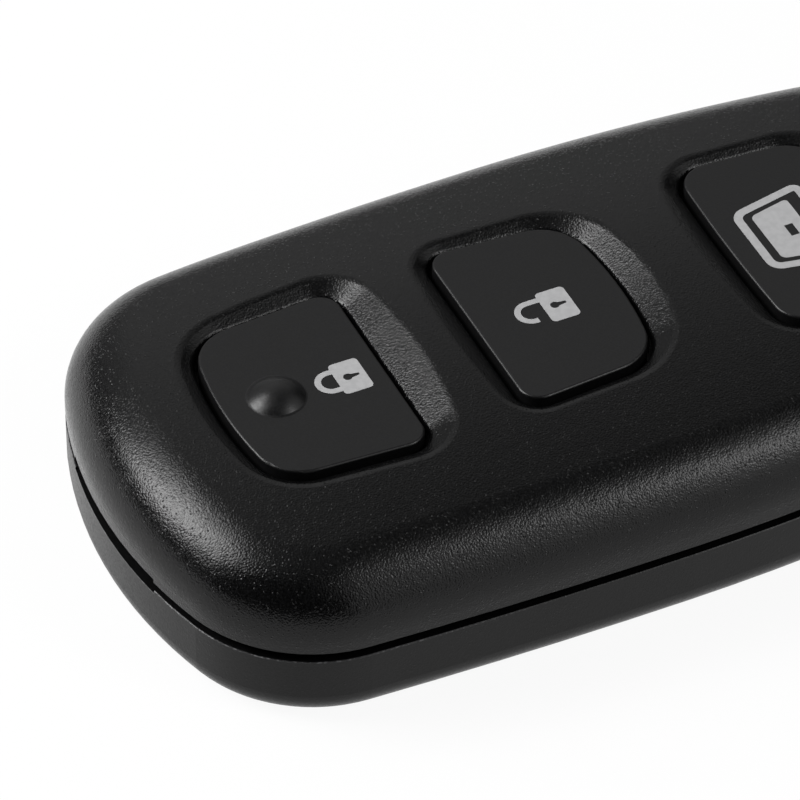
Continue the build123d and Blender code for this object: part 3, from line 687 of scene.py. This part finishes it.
@dataclass
class Padlock(Symbol):
    """A padlock, shut or open. Its open shackle is lifted, and its free leg ends in the air."""

    is_open: bool = False
    body_width: float = 2.9
    body_height: float = 2.0
    body_corner: float = 0.3
    shackle_radius: float = 0.85
    shut_leg: float = 0.35
    open_lift: float = 0.55
    free_leg_share: float = 0.5
    keyhole_radius: float = 0.3
    keyhole_share: float = 0.6
    keyhole_drop: float = 0.5
    keyhole_segments: int = 20
    keyhole_foot: int = 3
    line: float = 0.42

    def draw(self, mesh: BMesh) -> None:
        """Draws the body with its keyhole, and the shackle.

        Args:
            mesh: the empty mesh to draw in.
        """
        whole = self.body_height + self.shut_leg + self.shackle_radius + self.line / 2
        foot = -whole / 2
        top = foot + self.body_height
        plate = self.plate(mesh, self.body_width, self.body_width, foot, top, self.body_corner)
        rim = [edge for face in plate for edge in face.edges]
        bmesh.ops.delete(mesh, geom=plate, context="FACES_ONLY")
        middle = Matrix.Translation((0, foot + self.body_height * self.keyhole_share, 0))
        keyhole = bmesh.ops.create_circle(mesh, segments=self.keyhole_segments,
                                          radius=self.keyhole_radius, matrix=middle)["verts"]
        lowest = sorted(keyhole, key=lambda vertex: vertex.co.y)[:self.keyhole_foot]
        bmesh.ops.translate(mesh, verts=lowest, vec=(0, -self.keyhole_drop, 0))
        hole = {edge for vertex in keyhole for edge in vertex.link_edges}
        bmesh.ops.bridge_loops(mesh, edges=[*rim, *hole])
        leg = self.shut_leg + (self.open_lift if self.is_open else 0.0)
        right, left = self.arc(mesh, (0, top + leg), self.shackle_radius, start=0, sweep=180)
        self.leg(mesh, right, leg)
        self.leg(mesh, left, self.shut_leg * self.free_leg_share if self.is_open else leg)


@dataclass
class RearWindow(Symbol):
    """A rear window: a frame that narrows upwards, with a dark latch in its pane."""

    frame_low: float = -2.75
    frame_high: float = 2.75
    low_width: float = 8.1
    high_width: float = 5.95
    frame_corner: float = 0.85
    pane_low: float = -1.3
    pane_high: float = 1.6
    pane_low_width: float = 5.65
    pane_high_width: float = 4.45
    pane_corner: float = 0.35
    latch_width: float = 1.1
    latch_height: float = 0.6
    latch_y: float = -0.25
    line: float = 0.58

    def draw(self, mesh: BMesh) -> None:
        """Draws the frame, and the pane on both sides of the latch.

        Args:
            mesh: the empty mesh to draw in.
        """
        outline = self.plate(mesh, self.low_width, self.high_width, self.frame_low,
                             self.frame_high, self.frame_corner)
        self.hollow(mesh, outline, self.line)
        pane = self.plate(mesh, self.pane_low_width, self.pane_high_width, self.pane_low,
                          self.pane_high, self.pane_corner)
        rim = [edge for face in pane for edge in face.edges]
        bmesh.ops.delete(mesh, geom=pane, context="FACES_ONLY")
        latch = bmesh.ops.create_grid(mesh, x_segments=1, y_segments=1, size=0.5)["verts"]
        latch_faces = list({face for vertex in latch for face in vertex.link_faces})
        for vertex in latch:
            across, along, _ = vertex.co
            vertex.co = Vector((across * self.latch_width,
                                along * self.latch_height + self.latch_y, 0))
        hole = list({edge for vertex in latch for edge in vertex.link_edges})
        bmesh.ops.delete(mesh, geom=latch_faces, context="FACES_ONLY")
        bmesh.ops.bridge_loops(mesh, edges=[*rim, *hole])


@dataclass
class Horn(Symbol):
    """A sounding horn: a flared bell, its driver and two arcs of sound."""

    bell_length: float = 1.7
    mouth: float = 2.3
    throat: float = 0.9
    bell_corner: float = 0.12
    driver: float = 0.6
    driver_corner: float = 0.1
    gap: float = 0.15
    shift: float = -1.4
    wave_x: float = 0.1
    wave_radii: tuple[float, ...] = (0.95, 1.7)
    wave_half_angle: float = 42.0
    wave_steps: int = 8
    line: float = 0.3

    def draw(self, mesh: BMesh) -> None:
        """Draws the bell and driver lying along X, and the arcs.

        Args:
            mesh: the empty mesh to draw in.
        """
        self.plate(mesh, self.throat, self.mouth, 0, self.bell_length, self.bell_corner)
        self.plate(mesh, self.throat, self.throat, -self.gap - self.driver, -self.gap,
                   self.driver_corner)
        quarter_turn = Matrix.Rotation(-pi / 2, 3, "Z")
        bmesh.ops.rotate(mesh, verts=mesh.verts, cent=(0, 0, 0), matrix=quarter_turn)
        bmesh.ops.translate(mesh, verts=mesh.verts, vec=(self.shift, 0, 0))
        for radius in self.wave_radii:
            self.arc(mesh, (self.wave_x, 0), radius, -self.wave_half_angle,
                     2 * self.wave_half_angle, self.wave_steps)


@dataclass(frozen=True)
class PhotoCamera:
    """The camera that took the photograph, as fitted to the edges of the case.

    Attributes:
        focal_pixels: focal length, in pixels of the frame.
        frame_pixels: width and height of the frame.
        elevation: degrees that the camera looks down.
        azimuth: degrees that it looks round, from +Y away from +X.
        roll: degrees that the frame is turned.
        pixels_per_mm: scale of the picture at the aim.
        aim: a point of the fob.
        aim_pixel: where that point is in the frame.
        sensor: width of the sensor.
        nearest: distance from which the camera sees.
    """

    focal_pixels: float = 6308.55
    frame_pixels: float = 800.0
    elevation: float = 42.76
    azimuth: float = 244.66
    roll: float = 0.17
    pixels_per_mm: float = 15.9
    aim: tuple[float, float, float] = (0.0, 15.94, 11.96)
    aim_pixel: tuple[float, float] = (380.84, 363.56)
    sensor: float = 36.0
    nearest: float = 10.0

    def build(self) -> None:
        """Makes the camera, and makes it the scene's own."""
        turn, rise, roll = radians(self.azimuth), radians(self.elevation), radians(self.roll)
        level = Vector((-sin(turn), cos(turn), 0))
        ahead = level * cos(rise) - Vector((0, 0, sin(rise)))
        right = Vector((level.y, -level.x, 0))
        up = right.cross(ahead)
        right, up = right * cos(roll) + up * sin(roll), up * cos(roll) - right * sin(roll)
        across, down = [(pixel - self.frame_pixels / 2) / self.focal_pixels
                        for pixel in self.aim_pixel]
        distance = self.focal_pixels / self.pixels_per_mm
        place = Vector(self.aim) - distance * (ahead + across * right - down * up)
        data = bpy.data.cameras.new("photo_camera")
        data.sensor_width = self.sensor
        data.lens = self.focal_pixels * self.sensor / self.frame_pixels
        data.clip_start = self.nearest * MM
        camera = bpy.data.objects.new("photo_camera", data)
        camera.matrix_world = (Matrix.Translation(place * MM)
                               @ Matrix((right, up, -ahead)).transposed().to_4x4())
        bpy.context.scene.collection.objects.link(camera)
        bpy.context.scene.camera = camera
        log.info("camera: %.1f mm lens, %.0f mm away", data.lens, distance)


@dataclass(frozen=True)
class SoftBox:
    """A soft studio lamp, placed by its direction from the fob. Its sizes are in metres.

    Attributes:
        name: name of the lamp.
        compass: degrees round the fob, from +Y towards +X.
        height: degrees above the floor.
        distance: distance from the fob's middle.
        width: width of the lamp.
        tall: height of the lamp.
        brightness: how bright its face is, where 1 shows as white.
    """

    name: str
    compass: float
    height: float
    distance: float
    width: float
    tall: float
    brightness: float

    def build(self, target: Vector) -> None:
        """Makes the lamp, turned to the fob.

        Args:
            target: the point that it faces, in metres.
        """
        away = direction(self.compass, self.height)
        data = bpy.data.lights.new(self.name, "AREA")
        data.shape = "RECTANGLE"
        data.size, data.size_y = self.width, self.tall
        data.energy = self.brightness * pi * self.width * self.tall
        lamp = bpy.data.objects.new(self.name, data)
        lamp.location = target + away * self.distance
        lamp.rotation_mode = "QUATERNION"
        lamp.rotation_quaternion = away.to_track_quat("Z", "Y")
        bpy.context.scene.collection.objects.link(lamp)
        log.info("%s: %.2f W", self.name, data.energy)


@dataclass(frozen=True)
class Glow:
    """A broad soft patch of light on the room's walls, placed by its direction from the fob.

    Attributes:
        compass: degrees round the fob, from +Y towards +X.
        height: degrees above the floor.
        brightness: how bright its middle is.
        spread: degrees from its middle to its edge.
    """

    compass: float
    height: float
    brightness: float
    spread: float = 34.0


@dataclass
class Studio:
    """The plain pale floor, the glow of the room's walls and the lamps.

    Attributes:
        even_light: light from all round that dull surfaces take.
        floor_half: half the floor's width, in metres.
        floor_drop: how far the floor lies below the fob, in millimetres.
        floor_white: colour of the floor's paint.
        floor_glow: how much of its look is plain white. The rest shows the shadow.
        glows: the glows on the walls.
        boxes: the lamps.
    """

    even_light: float = 0.1
    floor_half: float = 20.0
    floor_drop: float = 0.02
    floor_white: float = 0.9
    floor_glow: float = 0.93
    glows: tuple[Glow, ...] = (
        Glow(90, 12, 0.20), Glow(120, 12, 0.18), Glow(240, 12, 1.1),
        Glow(40, 42, 0.30), Glow(80, 42, 0.30), Glow(120, 42, 0.46),
        Glow(200, 42, 1.0), Glow(240, 42, 0.8), Glow(30, 72, 0.30),
    )
    boxes: tuple[SoftBox, ...] = (
        SoftBox("back_box", compass=29.0, height=40.0, distance=0.6,
                width=0.36, tall=0.42, brightness=5.8),
        SoftBox("high_box", compass=58.0, height=54.0, distance=0.6,
                width=0.15, tall=0.13, brightness=6.0),
        SoftBox("back_core", compass=31.0, height=36.0, distance=0.55,
                width=0.18, tall=0.27, brightness=10.0),
        SoftBox("side_box", compass=231.0, height=41.0, distance=0.6,
                width=0.16, tall=0.26, brightness=6.5),
    )

    def build_room(self) -> None:
        """Makes the world: dim walls with soft glows, and an even light on dull surfaces."""
        world = bpy.data.worlds.new("studio_room")
        bpy.context.scene.world = world
        nodes = blank_tree(world)
        sky = nodes.add("TexCoord").outputs["Generated"]
        walls = nodes.add("Value").outputs[0]
        walls.default_value = 0.0
        for glow in self.glows:
            way = direction(glow.compass, glow.height)
            towards = nodes.add("VectorMath", {0: sky, 1: way}, operation="DOT_PRODUCT")
            patch = nodes.ramp(towards.outputs["Value"], cos(radians(glow.spread)), 1.0,
                               end=glow.brightness)
            walls = nodes.maths("ADD", walls, patch)
        strength = nodes.add("Mix", {0: nodes.seen(), 2: self.even_light, 3: walls},
                             data_type="FLOAT").outputs[0]
        shine = nodes.add("Background", {"Color": (1, 1, 1, 1), "Strength": strength})
        nodes.add("OutputWorld", {"Surface": shine.outputs[0]})

    def build_floor(self) -> None:
        """Makes the floor. It looks white and still takes the fob's shadow."""
        mesh = bmesh.new()
        bmesh.ops.create_grid(mesh, x_segments=1, y_segments=1, size=self.floor_half)
        bmesh.ops.translate(mesh, verts=mesh.verts, vec=(0, 0, -self.floor_drop * MM))
        floor = new_object("floor", mesh)
        material = bpy.data.materials.new("pale_floor")
        nodes = blank_tree(material)
        paint = nodes.add("BsdfDiffuse", {"Color": (self.floor_white,) * 3 + (1,)})
        glow = nodes.add("Emission", {"Color": (1, 1, 1, 1), "Strength": 1.0})
        share = nodes.maths("MULTIPLY", nodes.seen(), self.floor_glow)
        mixed = nodes.add("MixShader", {0: share, 1: paint.outputs[0], 2: glow.outputs[0]})
        clear = nodes.add("BsdfTransparent")
        below = nodes.add("NewGeometry").outputs["Backfacing"]
        whole = nodes.add("MixShader", {0: below, 1: mixed.outputs[0], 2: clear.outputs[0]})
        nodes.add("OutputMaterial", {"Surface": whole.outputs[0]})
        floor.data.materials.append(material)
        floor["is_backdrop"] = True

    def build(self) -> None:
        """Makes the room, the floor and the lamps, and sets how colours are shown."""
        self.build_room()
        self.build_floor()
        low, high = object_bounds()
        for box in self.boxes:
            box.build((low + high) / 2)
        bpy.context.scene.view_settings.view_transform = "Standard"
        log.info("studio: %d glows, %d lamps", len(self.glows), len(self.boxes))


def main() -> None:
    """Builds the scene: studio, camera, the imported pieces' finishes and the printed signs."""
    logging.basicConfig(level=logging.INFO, format="%(name)s: %(message)s")
    Studio().build()
    PhotoCamera().build()
    groups = PatternGroups()
    CarriedNodes(groups).dress()
    ink = INK.material(groups)
    for symbol in (
        Padlock("lock_symbol", "lock", -0.25, 18.85),
        Padlock("unlock_symbol", "unlock", -0.1, 4.3, is_open=True),
        RearWindow("window_symbol", "window", -0.1, -12.95),
        Horn("panic_symbol", "panic", 0.0, -24.3),
    ):
        symbol.build(ink)


if __name__ == "__main__":
    main()
